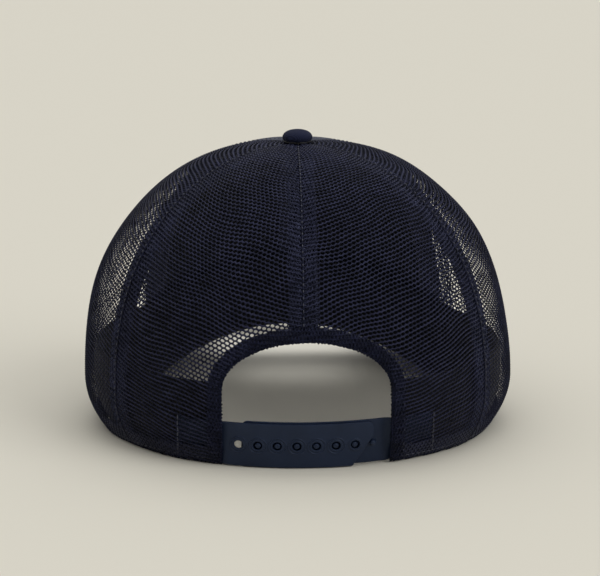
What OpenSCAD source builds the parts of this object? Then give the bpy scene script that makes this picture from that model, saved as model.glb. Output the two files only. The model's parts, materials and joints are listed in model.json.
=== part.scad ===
// Trucker cap: six-panel crown with mesh sides and back, curved visor and snap closure.
// +Z is up, +Y is the front. The origin is the middle of the head opening on the rim's plane.

/* [Crown] */
// Half width of the crown at its widest level
crown_half_w = 92; // [84:1:102]
// Distance from the middle to the back of the crown
crown_back = 88; // [80:1:98]
// Distance from the middle to the front of the crown
crown_front = 98; // [90:1:108]
// Height of the crown without its button
crown_h = 122; // [112:1:132]
// Height of the crown's widest level
widest_z = 22; // [20:1:28]
// How far the rim pulls in below the widest level, as a share of the half width
rim_inset = 0.085; // [0.05:0.005:0.1]
// Rise of the rim over the middle of the visor
rim_arch = 18; // [10:1:19]
// Half width of the raised stretch of rim
rim_arch_half_w = 72; // [66:1:76]

/* [Fabric] */
// Thickness of the mesh panels
mesh_t = 0.8; // [0.6:0.1:1]
// Thickness of the twill front panels
twill_t = 1.1; // [0.8:0.1:1.2]
// Thickness of the stiff buckram behind the front panels
buckram_t = 0.8; // [0.5:0.1:0.8]
// Width of the tapes that cover the seams
tape_w = 12; // [8:1:14]
// Thickness of the seam tapes
tape_t = 0.6; // [0.4:0.1:0.6]
// Height of the sweatband
band_h = 34; // [28:1:36]
// Thickness of the sweatband
band_t = 1.4; // [1:0.1:2]

/* [Rear opening] */
// Width of the rear opening
opening_w = 69.5; // [66:0.5:70]
// Sideways shift of the opening's middle
opening_shift = 1.25; // [0:0.25:1.5]
// Height at which the opening's sides turn into its arch
opening_spring_z = 33; // [30:1:36]
// Height of the top of the opening
opening_top_z = 54; // [48:1:56]
// Width of the folded binding around the opening
binding_w = 6; // [5:0.5:7]

/* [Closure] */
// Bend radius of the two straps where they lie on each other
strap_bend_r = 90; // [84:1:100]
// Thickness of each strap
strap_t = 1.4; // [1.2:0.1:1.4]
// Height of each strap
strap_h = 19.8; // [18:0.2:20]
// Distance between holes along the straps
hole_pitch = 7.95; // [7.9:0.05:8]
// Radius of the holes
hole_r = 1.85; // [1.8:0.05:1.9]
// Radius of the pegs at their root
peg_r = 1.5; // [1.3:0.05:1.5]

/* [Visor] */
// Length of the visor from the crown to its tip
visor_len = 68; // [60:1:75]
// Half width of the visor
visor_half_w = 84; // [80:1:88]
// Height of the middle of the visor's tip
visor_tip_z = 17; // [12:1:22]
// Thickness of the stiff board inside the visor
board_t = 2.2; // [1.8:0.1:2.4]

/* [Button] */
// Diameter of the covered button
button_d = 12.8; // [11:0.2:14]
// Height of the covered button
button_h = 5.2; // [4:0.2:6]

/* [Hidden] */

// Colours
mesh_colour = [0.09, 0.10, 0.15];
twill_colour = [0.17, 0.20, 0.29];
tape_colour = [0.12, 0.14, 0.20];
strap_colour = [0.12, 0.14, 0.19];
band_colour = [0.05, 0.05, 0.06];
board_colour = [0.75, 0.75, 0.72];
buckram_colour = [0.80, 0.80, 0.78];
metal_colour = [0.60, 0.60, 0.60];

// Exponents of the dome's profile, and the share of the profile's steps below the widest level
dome_p = 2.2;
dome_q = 2.3;
low_share = 0.12;

// Depths of the layers, measured inwards from the crown's outer surface
layer_gap = 0.25;
back_tape_d = mesh_t + layer_gap;
buckram_d = twill_t + 0.15;
front_tape_d = buckram_d + buckram_t + layer_gap;
band_d = front_tape_d + tape_t + 0.7;
tab_d = band_d - layer_gap - strap_t;

// Azimuths of the seams, in degrees from the back towards +X
front_seam = 44;
seams = [0, 60, 180 - front_seam, 180, 180 + front_seam, 300, 360];
// Steps of the shells: degrees in a column of a panel, and rows from rim to top
panel_col_step = 6;
panel_rows = 36;
// Half the hairline gap between two panels, and the small hole they leave under the button
seam_gap = 0.12;
top_hole_r = 2.4;

// Rear opening
opening_rx = opening_w / 2;
opening_rz = opening_top_z - opening_spring_z;
side_steps = 6;
arch_steps = 22;
fold_t = 0.5;
fold_gap = 0.15;
mesh_tuck = 0.8;

// Closure: the straps lean with the crown, which draws in towards the rim
closure_tilt = 12;
closure_at = [0, -crown_back + 5.5, 10.1];
strap_shift = 0.5;
strap_gap = 0.15;
strap_end_x = [-25.5, 28.5];
pivot_x = [-32.3, 34.8];
first_peg = 1.2 - 2.5 * hole_pitch;
peg_count = 7;
peg_len = 2.0;
peg_taper = 0.4;
boss_h = 0.25;
boss_r = hole_r + 0.9;
tip_notch = [8.7, 3.8];
tip_corner_r = 3;
strap_steps = 48;
knuckle_inset = 0.5;
tab_gap = 2.1;
tab_len = 19.6;
tab_z = [1.6, 20.6];
tab_steps = 5;

// Visor
visor_spread = 66;
visor_side_z = 2.7;
visor_lift = 2.7;
visor_crown_gap = 0.5;
visor_bulge = 1.2;
visor_fullness = 0.86;
cover_t = 0.85;
cover_gap = 0.15;
visor_cols = 32;
visor_rows = 7;

// Button
button_skin = 0.5;
button_fit = 0.1;
button_z = crown_h + 0.15;
rivet_r = 1.2;
rivet_head_r = 4.5;
rivet_head_t = 0.8;
round_steps = 48;

// ---------------------------------------------------------------- crown surface

// Share of the full plan size at height z; d is the depth below the outer surface
function crown_scale(z, d = 0) = z > widest_z
    ? pow(max(0, 1 - pow((z - widest_z) / (crown_h - d - widest_z), dome_q)), 1 / dome_p)
    : 1 - rim_inset * pow(1 - z / widest_z, 2);

// Distance from the middle to the widest outline, at azimuth a counted from the back towards +X
function plan_radius(a, d = 0) =
    1 / norm([sin(a) / (crown_half_w - d), cos(a) / ((cos(a) > 0 ? crown_back : crown_front) - d)]);

// Profile step (0 at the rim's plane, 1 at the top) and the height there, both ways
function step_height(s, d = 0) = s < low_share
    ? widest_z * s / low_share
    : widest_z + (crown_h - d - widest_z)
        * pow(sin(90 * (s - low_share) / (1 - low_share)), 2 / dome_q);
function height_step(z, d = 0) = z < widest_z
    ? low_share * z / widest_z
    : low_share + (1 - low_share)
        * asin(min(1, pow((z - widest_z) / (crown_h - d - widest_z), dome_q / 2))) / 90;
function step_scale(s, d = 0) = s < low_share
    ? crown_scale(step_height(s))
    : pow(cos(90 * (s - low_share) / (1 - low_share)), 2 / dome_p);

// Point on the crown at azimuth a, profile step s and depth d
function crown_point(a, s, d) = let (r = plan_radius(a, d) * step_scale(s, d))
    [r * sin(a), -r * cos(a), step_height(s, d)];

// Point on the back of the crown at sideways place x, height z and depth d
function back_point(x, z, d) = let (g = crown_scale(z, d))
    [x, -(crown_back - d) * g * sqrt(max(0, 1 - pow(x / ((crown_half_w - d) * g), 2))), z];

// Azimuth of the place x on the back of the crown at height z
function back_azimuth(x, z) = let (p = back_point(x, z, 0)) atan2(p[0], -p[1]);

// Height of the rim: an arch over the visor, flat elsewhere
function rim_z(a) = let (x = plan_radius(a) * (1 - rim_inset) * sin(a))
    cos(a) < 0 && abs(x) < rim_arch_half_w
        ? rim_arch * pow(1 - pow(x / rim_arch_half_w, 2), 1.5)
        : 0;

// Last profile step of a layer that leaves a hole of radius r at the top
function top_step(r) = 1 - (1 - low_share) * asin(pow(r / crown_half_w, dome_p / 2)) / 90;

// ---------------------------------------------------------------- solids from grids

function grid_faces(rows, cols, base, flip) = [
    for (i = [0 : rows - 2], j = [0 : cols - 2])
        let (a = base + i * cols + j, b = a + 1, c = a + cols, e = c + 1)
            each flip ? [[a, c, b], [b, c, e]] : [[a, b, c], [b, e, c]]
];

// A strip of wall between edge points p of the outer grid and the same points of the inner grid
function wall_faces(p, n) = [
    for (k = [0 : len(p) - 2])
        each [[p[k], p[k + 1], p[k] + n], [p[k + 1], p[k + 1] + n, p[k] + n]]
];

// Closed solid between two grids of points with the same rows and columns
module shell(outer, inner) {
    rows = len(outer);
    cols = len(outer[0]);
    n = rows * cols;
    bottom = [for (j = [0 : cols - 1]) j];
    right = [for (i = [0 : rows - 1]) i * cols + cols - 1];
    top = [for (j = [cols - 1 : -1 : 0]) n - cols + j];
    left = [for (i = [rows - 1 : -1 : 0]) i * cols];
    polyhedron(
        points = concat([for (row = outer) each row], [for (row = inner) each row]),
        faces = concat(
            grid_faces(rows, cols, 0, true),
            grid_faces(rows, cols, n, false),
            wall_faces(concat(bottom, right, top, left), n)
        ),
        convexity = 6
    );
}

// Shell patch of the crown between azimuths a0 and a1 and between two depths.
// low and high give the profile steps at a column's azimuth.
module crown_patch(a0, a1, cols, rows, d0, d1, low, high) {
    function grid(d) = [
        for (i = [0 : rows])
            [for (j = [0 : cols])
                let (a = a0 + (a1 - a0) * j / cols, s0 = low(a), s1 = high(a))
                    crown_point(a, s0 + (s1 - s0) * i / rows, d)]
    ];
    shell(grid(d0), grid(d1));
}

// ---------------------------------------------------------------- crown parts

// Panel after seam number k; its edges keep a hairline gap to the next panel
module panel(k, d0, d1) {
    edge = seam_gap * 180 / (PI * crown_half_w);
    a0 = seams[k] + edge;
    a1 = seams[k + 1] - edge;
    crown_patch(
        a0, a1, ceil((a1 - a0) / panel_col_step), panel_rows, d0, d1,
        function (a) height_step(rim_z(a)),
        function (a) top_step(top_hole_r)
    );
}

// Points of the rear opening's edge, grown outwards by s, from its left foot to its right foot
function opening_edge(s) = concat(
    [for (k = [0 : side_steps - 1])
        [opening_shift - opening_rx - s, opening_spring_z * k / side_steps]],
    [for (k = [0 : arch_steps])
        let (
            f = 180 - 180 * k / arch_steps,
            out = [cos(f) / opening_rx, sin(f) / opening_rz] / norm([cos(f) / opening_rx, sin(f) / opening_rz])
        )
            [opening_shift + opening_rx * cos(f) + s * out[0],
             opening_spring_z + opening_rz * sin(f) + s * out[1]]],
    [for (k = [side_steps - 1 : -1 : 0])
        [opening_shift + opening_rx + s, opening_spring_z * k / side_steps]]
);

// Prism that cuts the rear opening, larger by s all round
module opening_cut(s) {
    edge = opening_edge(s);
    last = len(edge) - 1;
    translate([0, -crown_back / 2, 0])
        rotate([90, 0, 0])
            linear_extrude(crown_back)
                polygon(concat([edge[0] - [0, 5]], edge, [edge[last] - [0, 5]]));
}

module back_mesh(k) {
    color(mesh_colour)
        difference() {
            panel(k, 0, mesh_t);
            opening_cut(mesh_tuck);
        }
}

module side_mesh(k) {
    color(mesh_colour)
        panel(k, 0, mesh_t);
}

module front_panel(k) {
    color(twill_colour)
        panel(k, 0, twill_t);
}

module front_buckram(k) {
    color(buckram_colour)
        panel(k, buckram_d, buckram_d + buckram_t);
}

// Tape over seam number k, from height z0 up to the rivet's washer
module seam_tape(k, z0, d) {
    a = seams[k];
    s0 = height_step(z0, d);
    s1 = top_step(rivet_head_r + 2);
    function half_angle(s) = let (r = plan_radius(a, d) * step_scale(s, d))
        asin(min(tape_w / 2, 0.36 * r) / r);
    function grid(depth) = [
        for (i = [0 : panel_rows])
            let (s = s0 + (s1 - s0) * i / panel_rows)
                [for (side = [-1, 0, 1]) crown_point(a + side * half_angle(s), s, depth)]
    ];
    color(tape_colour)
        shell(grid(d), grid(d + tape_t));
}

// Folded binding: a U-shaped strip that holds the mesh's edge all round the rear opening
module opening_binding() {
    inner_d = mesh_t + layer_gap;
    section = [
        [0, -fold_gap - fold_t],
        [binding_w, -fold_gap - fold_t],
        [binding_w, -fold_gap],
        [fold_t, -fold_gap],
        [fold_t, inner_d],
        [binding_w, inner_d],
        [binding_w, inner_d + fold_t],
        [0, inner_d + fold_t]
    ];
    m = len(section);
    rings = [for (p = section) [for (e = opening_edge(p[0])) back_point(e[0], e[1], p[1])]];
    n = len(rings[0]);
    color(mesh_colour)
        polyhedron(
            points = [for (ring = rings) each ring],
            faces = concat(
                [for (i = [0 : m - 1], k = [0 : n - 2])
                    let (a = i * n + k, c = (i + 1) % m * n + k)
                        each [[a, a + 1, c], [a + 1, c + 1, c]]],
                [[for (i = [0 : m - 1]) i * n]],
                [[for (i = [m - 1 : -1 : 0]) i * n + n - 1]]
            ),
            convexity = 8
        );
}

// Band inside the rim, from one side of the rear opening round the front to the other
module sweatband() {
    band_cols = 64;
    band_rows = 5;
    hem = 1.5;
    reach = opening_rx + 4;
    a0 = back_azimuth(opening_shift + reach, widest_z);
    a1 = 360 + back_azimuth(opening_shift - reach, widest_z);
    color(band_colour)
        crown_patch(
            a0, a1, band_cols, band_rows, band_d, band_d + band_t,
            function (a) height_step(rim_z(a) + hem, band_d),
            function (a) height_step(rim_z(a) + hem + band_h, band_d)
        );
}

// ---------------------------------------------------------------- visor

// Middle surface of the visor: u runs from -1 to 1 across it, v from 0 at the crown to 1 at its edge
function visor_point(u, v, dz) =
    let (
        a = 180 - visor_spread * u,
        z_in = rim_z(a) + visor_lift,
        r_in = plan_radius(a, -visor_crown_gap) * crown_scale(z_in + dz),
        corner = plan_radius(180 - visor_spread, -visor_crown_gap) * crown_scale(visor_lift),
        corner_y = -corner * cos(180 - visor_spread),
        reach = crown_front + visor_len - corner_y,
        x_out = visor_half_w * sign(u) * pow(sin(90 * abs(u)), visor_fullness),
        y_out = corner_y + reach * pow(cos(90 * u), visor_fullness),
        rise = (visor_tip_z - visor_side_z) * pow(max(0, 1 - pow(x_out / visor_half_w, 2)), 1.1),
        z_out = visor_side_z + rise,
        z_mid = z_in + (z_out - z_in) * v + visor_bulge * sin(180 * v) * cos(90 * u)
    )
        [r_in * sin(a) * (1 - v) + x_out * v, -r_in * cos(a) * (1 - v) + y_out * v, z_mid + dz];

// Layer of the visor between two heights above its middle surface
module visor_layer(dz0, dz1) {
    function grid(dz) = [
        for (i = [0 : visor_rows])
            [for (j = [0 : visor_cols])
                visor_point(1 - 2 * j / visor_cols, i / visor_rows, dz)]
    ];
    shell(grid(dz0), grid(dz1));
}

module visor_board() {
    color(board_colour)
        visor_layer(-board_t / 2, board_t / 2);
}

module visor_top_cover() {
    low = board_t / 2 + cover_gap;
    color(twill_colour)
        visor_layer(low, low + cover_t);
}

module visor_bottom_cover() {
    high = -board_t / 2 - cover_gap;
    color(twill_colour)
        visor_layer(high - cover_t, high);
}

// ---------------------------------------------------------------- button

// Outline of a dome of radius r and height h over the axis
function dome(r, h) = [for (k = [0 : 12]) [r * cos(7.5 * k), h * sin(7.5 * k)]];

module button_cover() {
    r = button_d / 2;
    inner = dome(r - button_skin, button_h - button_skin);
    color(twill_colour)
        translate([0, 0, button_z])
            rotate_extrude($fn = round_steps)
                polygon(concat(dome(r, button_h), [for (k = [12 : -1 : 0]) inner[k]]));
}

module button_shell() {
    play = button_skin + button_fit;
    hollow = 1.6;
    color(metal_colour)
        translate([0, 0, button_z])
            difference() {
                rotate_extrude($fn = round_steps)
                    polygon(concat(dome(button_d / 2 - play, button_h - play), [[0, 0]]));
                translate([0, 0, -1])
                    cylinder(h = 1 + hollow, r = rivet_r + button_fit, $fn = round_steps);
            }
}

// Shank through the hole where the panels meet, with a washer head inside the crown
module button_rivet() {
    washer_z = crown_h - front_tape_d - tape_t - 0.6 - rivet_head_t;
    color(metal_colour)
        union() {
            translate([0, 0, washer_z])
                cylinder(h = rivet_head_t, r = rivet_head_r, $fn = round_steps);
            translate([0, 0, washer_z])
                cylinder(h = button_z + 1.5 - washer_z, r = rivet_r, $fn = round_steps);
        }
}

// ---------------------------------------------------------------- closure

// Point at sideways place x on a strap's line, offset outwards from the bend by d and moved up the
// crown's lean by z
function strap_point(x, d, z) =
    let (f = asin(x / strap_bend_r))
        closure_at + [
            (strap_bend_r + d) * sin(f),
            strap_bend_r - (strap_bend_r + d) * cos(f) - z * sin(closure_tilt),
            z * cos(closure_tilt)
        ];

// Ribbon between sideways places x0 and x1 and heights z0 and z1, its middle off the bend by offset
module ribbon(x0, x1, z0, z1, offset) {
    function grid(side) = [
        for (z = [z0, z1])
            [for (k = [0 : strap_steps])
                let (x = x0 + (x1 - x0) * k / strap_steps)
                    strap_point(x, offset + side * strap_t / 2, z)]
    ];
    shell(grid(1), grid(-1));
}

// Places children on peg or hole number k, with +Z outwards along its axis
module at_peg(k) {
    x = first_peg + k * hole_pitch;
    translate(strap_point(x, 0, 0))
        rotate([closure_tilt, 0, 0])
            rotate([90, 0, asin(x / strap_bend_r) / 2])
                children();
}

// Round end on a strap's pivot line
module strap_knuckle(x, offset, z0, z1) {
    translate(strap_point(x, offset, 0))
        rotate([closure_tilt, 0, 0])
            translate([0, 0, z0 + knuckle_inset])
                cylinder(h = z1 - z0 - 2 * knuckle_inset, r = strap_t / 2, $fn = 32);
}

module strap_holes() {
    seat = strap_t / 2 + strap_gap;
    low = -strap_h / 2;
    high = strap_h / 2;
    end = strap_end_x[1];
    upright = cos(closure_tilt);
    color(strap_colour)
        difference() {
            union() {
                intersection() {
                    ribbon(pivot_x[0], end, low, high, seat);
                    // Back view of the strap: a round upper corner and a slanted lower one
                    translate(closure_at + [0, strap_bend_r / 2, 0])
                        rotate([90, 0, 0])
                            linear_extrude(strap_bend_r)
                                strap_tip_outline(pivot_x[0] - 5, end, low * upright, high * upright);
                }
                strap_knuckle(pivot_x[0], seat, low, high);
                for (k = [-1 : peg_count - 2])
                    at_peg(k)
                        translate([0, 0, strap_gap + 0.2])
                            cylinder(h = strap_t + boss_h - 0.2, r = boss_r, $fn = round_steps);
            }
            for (k = [-1 : peg_count - 2])
                at_peg(k)
                    translate([0, 0, -3])
                        cylinder(h = 8, r = hole_r, $fn = round_steps);
        }
}

// Outline of the strap with holes seen from the back, with the tip's corners
module strap_tip_outline(x0, x1, z0, z1) {
    corner = [for (k = [0 : 6]) [x1 - tip_corner_r, z1 - tip_corner_r]
        + tip_corner_r * [sin(15 * k), cos(15 * k)]];
    polygon(concat(
        [[x0, z1 + 1], [x1 - tip_corner_r, z1 + 1]], corner,
        [[x1, tip_notch[1]], [x1 - tip_notch[0], z0], [x1 - tip_notch[0], z0 - 1], [x0, z0 - 1]]
    ));
}

module strap_pegs() {
    seat = -strap_t / 2 - strap_gap;
    low = -strap_h / 2 + strap_shift;
    high = low + strap_h;
    color(strap_colour)
        union() {
            ribbon(strap_end_x[0], pivot_x[1], low, high, seat);
            strap_knuckle(pivot_x[1], seat, low, high);
            for (k = [0 : peg_count - 1])
                at_peg(k)
                    translate([0, 0, -strap_t / 2 - strap_gap])
                        cylinder(
                            h = peg_len + strap_t / 2 + strap_gap,
                            r1 = peg_r, r2 = peg_r - peg_taper, $fn = round_steps
                        );
        }
}

// Sewn end of a strap, held between the mesh and the sweatband, from sideways place x0 to x1
module strap_tab(x0, x1) {
    function grid(d) = [
        for (i = [0 : tab_steps])
            [for (j = [0 : tab_steps])
                let (z = tab_z[0] + (tab_z[1] - tab_z[0]) * i / tab_steps)
                    back_point(x0 + (x1 - x0) * j / tab_steps, z, d)]
    ];
    color(strap_colour)
        shell(grid(tab_d), grid(tab_d + strap_t));
}

// ---------------------------------------------------------------- nodes

front_panel(3);  // front_panel_left
front_panel(2);  // front_panel_right
front_buckram(3);  // front_buckram_left
front_buckram(2);  // front_buckram_right
side_mesh(4);  // side_mesh_left
side_mesh(1);  // side_mesh_right
back_mesh(5);  // back_mesh_left
back_mesh(0);  // back_mesh_right
seam_tape(3, rim_arch + 1, front_tape_d);  // seam_tape_front_centre
seam_tape(4, max([for (side = [-4, 4]) rim_z(seams[4] + side)]) + 1, front_tape_d);  // seam_tape_front_left
seam_tape(2, max([for (side = [-4, 4]) rim_z(seams[2] + side)]) + 1, front_tape_d);  // seam_tape_front_right
seam_tape(5, 1, back_tape_d);  // seam_tape_side_left
seam_tape(1, 1, back_tape_d);  // seam_tape_side_right
seam_tape(0, opening_top_z + binding_w + 1, back_tape_d);  // seam_tape_back_centre
opening_binding();
sweatband();
visor_board();
visor_top_cover();
visor_bottom_cover();
button_cover();
button_shell();
button_rivet();
strap_holes();
strap_tab(pivot_x[0] - tab_gap - tab_len, pivot_x[0] - tab_gap);  // strap_holes_tab
strap_pegs();
strap_tab(pivot_x[1] + tab_gap, pivot_x[1] + tab_gap + tab_len);  // strap_pegs_tab
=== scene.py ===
"""Looks of the trucker cap: knitted mesh, twill, stitching, visor and snap straps around the CAD frame."""

import json
import math

import bpy
import numpy as np
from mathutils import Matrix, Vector
from mathutils.geometry import delaunay_2d_cdt


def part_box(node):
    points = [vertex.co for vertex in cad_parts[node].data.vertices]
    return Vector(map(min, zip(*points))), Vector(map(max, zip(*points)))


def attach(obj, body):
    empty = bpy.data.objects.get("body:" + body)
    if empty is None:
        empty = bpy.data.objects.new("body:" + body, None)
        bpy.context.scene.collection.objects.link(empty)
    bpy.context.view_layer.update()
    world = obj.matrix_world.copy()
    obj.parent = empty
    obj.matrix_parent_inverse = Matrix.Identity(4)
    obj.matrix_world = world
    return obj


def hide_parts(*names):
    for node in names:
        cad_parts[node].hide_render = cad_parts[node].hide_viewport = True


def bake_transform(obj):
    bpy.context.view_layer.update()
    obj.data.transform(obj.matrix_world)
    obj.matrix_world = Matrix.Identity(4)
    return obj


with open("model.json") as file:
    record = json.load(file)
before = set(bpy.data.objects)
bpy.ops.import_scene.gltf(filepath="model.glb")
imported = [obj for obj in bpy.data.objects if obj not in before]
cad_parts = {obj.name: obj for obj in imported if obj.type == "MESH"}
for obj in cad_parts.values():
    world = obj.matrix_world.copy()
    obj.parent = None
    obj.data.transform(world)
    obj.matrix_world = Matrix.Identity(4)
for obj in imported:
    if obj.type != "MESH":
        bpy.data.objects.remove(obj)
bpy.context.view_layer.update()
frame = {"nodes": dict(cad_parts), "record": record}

MM = 0.001
DEG = math.pi / 180
rng = np.random.default_rng(7)


def unit(rows):
    """Rows of vectors at length 1."""
    return rows / np.linalg.norm(rows, axis=1, keepdims=True)


def smooth(t):
    """Soft step from 0 to 1."""
    t = np.clip(t, 0, 1)
    return t * t * (3 - 2 * t)


def high(node, axis):
    """Highest coordinate of a CAD node on an axis, in millimetres."""
    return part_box(node)[1][axis] / MM


def low(node, axis):
    """Lowest coordinate of a CAD node on an axis, in millimetres."""
    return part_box(node)[0][axis] / MM


# ---- sizes, in millimetres

# Crown, read from the CAD nodes
CROWN_HALF_W = high("side_mesh_right", 0)
CROWN_BACK = -low("back_mesh_right", 1)
CROWN_FRONT = high("front_panel_right", 1)
CROWN_H = high("front_panel_right", 2)

# Shape of the crown: widest level, inward slope of the rim, roundness of the dome, the part of the profile's
# steps below the widest level, the rim's arch over the visor, its mean radius and the azimuths of the seams
WIDEST_Z = 22.0
RIM_INSET = 0.085
DOME_P = 2.2
DOME_Q = 2.3
LOW_SHARE = 0.12
RIM_ARCH = 18.0
RIM_ARCH_HALF_W = 72.0
RIM_R = 86.0
FRONT_SEAM = 44.0
SIDE_SEAM = 60

# Rear opening, read from the binding that surrounds it
BINDING_W = 6.0
OPENING_SHIFT = (high("opening_binding", 0) + low("opening_binding", 0)) / 2
OPENING_RX = (high("opening_binding", 0) - low("opening_binding", 0)) / 2 - BINDING_W
OPENING_TOP = high("opening_binding", 2) - BINDING_W
OPENING_SPRING = 33.0

# Knit: spacing of the holes along and across a row, size of a hole as a share of its cell, heights between
# which a side panel's holes get smaller, thickness, rise of the loops' heads and tilt of the rows
KNIT_X = 2.0
KNIT_Y = 1.7
BACK_HOLE = (0.71, 0.56)
SIDE_HOLE = (0.74, 0.68)
TOP_HOLE = (0.56, 0.50)
TOP_HOLE_Z = (60.0, 100.0)
KNIT_T = 0.5
SIDE_KNIT_T = 0.38
LOOP_RISE = 0.16
YARN_JITTER = 0.035
GRAIN_TILT = 15.0

# Folded edges of the knit behind the seams; the wide one narrows the see-through part of its side
ALLOWANCE = 6.0
RIGHT_FRONT_ALLOWANCE = 13.0
ALLOWANCE_D = 1.12
ALLOWANCE_STOP = 13

# Straps: radius of their bend, thickness, height, gap between them, tilt, place of their middle, holes and
# pegs, where each leaves the cloth, length of a sewn end, where each free end lies and roundness of their
# edges
STRAP_R = 90.0
STRAP_T = 1.4
STRAP_H = 19.8
STRAP_GAP = 0.15
STRAP_TILT = 12.0
STRAP_AT = (0.0, 5.5 - CROWN_BACK, 10.1)
HOLE_PITCH = 7.95
HOLE_R = 1.85
PEG_R = 1.5
PIVOT_X = (-32.3, 34.8)
TAB_LEN = 21.7
STRAP_END_X = (-25.5, 28.5)
STRAP_BEVEL = 0.3

# Visor: half of the angle it spans on the crown, half width, heights of its tip, sides and root, its bulge
# and roundness, half thickness with the covers, gap to the crown, depth of a cover's inner face below its
# outer one, half width and length of its flat cloth, and the rows of stitching
VISOR_SPREAD = 66.0
VISOR_END = 180 - VISOR_SPREAD
VISOR_HALF_W = high("visor_board", 0)
VISOR_TIP_Y = high("visor_board", 1)
VISOR_TIP_Z = 17.0
VISOR_SIDE_Z = 2.7
VISOR_LIFT = 2.7
VISOR_BULGE = 1.2
VISOR_FULLNESS = 0.86
VISOR_HALF_T = 2.1
VISOR_GAP = 0.5
VISOR_SKIN = 0.75
VISOR_CLOTH = (85.0, 68.0)
VISOR_ROWS = (0.965, 0.86, 0.75, 0.64, 0.53, 0.42, 0.31, 0.20)

# Layers inside the crown: depth below its outer surface, thickness and width, cloth per degree of the band
TAPE_D = 1.55
FRONT_TAPE_D = 2.45
TAPE_T = 0.5
TAPE_HALF_W = 6.0
TAPE_TOP_R = 6.5
RIM_TAPE_W = 7.2
BAND_D = 3.6
TAB_D = 2.65
BAND_T = 1.4
BAND_H = 34.0
BAND_HEM = 1.5
BAND_PER_DEG = 1.5


# ---- crown surface

def crown_scale(z, d=0.0):
    """Share of the full plan size at height z."""
    up = np.clip((z - WIDEST_Z) / (CROWN_H - d - WIDEST_Z), 0, 1)
    dome = np.power(1 - up ** DOME_Q, 1 / DOME_P)
    return np.where(z > WIDEST_Z, dome, 1 - RIM_INSET * (1 - z / WIDEST_Z) ** 2)


def plan_radius(a, d=0.0):
    """Distance from the middle to the widest outline at azimuth a, in degrees from the back towards +X."""
    s, c = np.sin(a * DEG), np.cos(a * DEG)
    length = np.where(c > 0, CROWN_BACK, CROWN_FRONT) - d
    return 1 / np.sqrt((s / (CROWN_HALF_W - d)) ** 2 + (c / length) ** 2)


def step_angle(s):
    """Angle along the dome, from 0 at the widest level to a right angle at the top."""
    return 90 * DEG * np.clip((s - LOW_SHARE) / (1 - LOW_SHARE), 0, 1)


def step_height(s, d=0.0):
    """Height at a profile step."""
    dome = WIDEST_Z + (CROWN_H - d - WIDEST_Z) * np.sin(step_angle(s)) ** (2 / DOME_Q)
    return np.where(s < LOW_SHARE, WIDEST_Z * s / LOW_SHARE, dome)


def step_scale(s):
    """Share of the full plan size at a profile step."""
    rim = crown_scale(WIDEST_Z * np.minimum(s, LOW_SHARE) / LOW_SHARE)
    return np.where(s < LOW_SHARE, rim, np.cos(step_angle(s)) ** (2 / DOME_P))


def height_step(z, d=0.0):
    """Profile step at height z: 0 at the rim's plane, 1 at the top."""
    up = np.clip((z - WIDEST_Z) / (CROWN_H - d - WIDEST_Z), 0, 1)
    dome = LOW_SHARE + (1 - LOW_SHARE) * np.arcsin(up ** (DOME_Q / 2)) / (90 * DEG)
    return np.where(z < WIDEST_Z, LOW_SHARE * z / WIDEST_Z, dome)


def crown_point(a, s, d):
    """Points on the crown at azimuth a, profile step s and depth d."""
    a, s, d = np.broadcast_arrays(np.asarray(a, float), s, d)
    r = plan_radius(a, d) * step_scale(s)
    return np.stack([r * np.sin(a * DEG), -r * np.cos(a * DEG), step_height(s, d)], -1)


def back_point(x, z, d):
    """Points on the back of the crown at sideways place x and height z."""
    x, z, d = np.broadcast_arrays(np.asarray(x, float), z, d)
    g = crown_scale(z, d)
    y = -(CROWN_BACK - d) * g * np.sqrt(np.clip(1 - (x / ((CROWN_HALF_W - d) * g)) ** 2, 0, 1))
    return np.stack([x, y, z], -1)


def rim_z(a):
    """Height of the rim: an arch over the visor, flat elsewhere."""
    a = np.asarray(a, float)
    x = plan_radius(a) * (1 - RIM_INSET) * np.sin(a * DEG)
    arch = RIM_ARCH * np.clip(1 - (x / RIM_ARCH_HALF_W) ** 2, 0, 1) ** 1.5
    return np.where(np.cos(a * DEG) < 0, arch, 0.0)


def top_step(radius):
    """Profile step at which the crown has narrowed to a radius."""
    return 1 - (1 - LOW_SHARE) * math.asin((radius / CROWN_HALF_W) ** (DOME_P / 2)) / (90 * DEG)


def lengths_along(path):
    """Length from a path's start to each of its points."""
    return np.concatenate([[0], np.cumsum(np.linalg.norm(np.diff(path, axis=0), axis=1))])


class Meridian:
    """Length along the crown's profile at one azimuth, to lay flat cloth on the crown unstretched."""

    def __init__(self, a):
        self.a = a
        self.steps = np.linspace(0, 1, 1500)
        self.lengths = lengths_along(crown_point(a, self.steps, 0.0))
        self.total = self.lengths[-1]

    def step(self, length):
        return np.interp(length, self.lengths, self.steps)

    def length(self, s):
        return np.interp(s, self.steps, self.lengths)

    def radius(self, s):
        return plan_radius(self.a) * step_scale(s)


# ---- mesh building

def make_object(name, points, faces, material, cloth=None):
    """A mesh object from points in millimetres; cloth holds flat cloth coordinates, in millimetres."""
    mesh = bpy.data.meshes.new(name)
    mesh.from_pydata((np.asarray(points) * MM).tolist(), [], [list(map(int, f)) for f in faces])
    mesh.validate()
    mesh.polygons.foreach_set("use_smooth", [True] * len(mesh.polygons))
    attribute = mesh.attributes.new("cloth", "FLOAT_VECTOR", "POINT")
    flat = np.asarray(points, float) if cloth is None else np.asarray(cloth, float)
    attribute.data.foreach_set("vector", flat.ravel())
    mesh.materials.append(material)
    obj = bpy.data.objects.new(name, mesh)
    bpy.context.scene.collection.objects.link(obj)
    return obj


def finish_piece(obj, slot, *nodes):
    """A piece of the crown, with the CAD nodes that it replaces."""
    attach(obj, "crown")
    if nodes:
        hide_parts(*nodes)


def flat_cloth(p, q):
    """Cloth coordinates of a grid."""
    return np.stack(np.broadcast_arrays(p, q, 0.0), -1)


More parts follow.
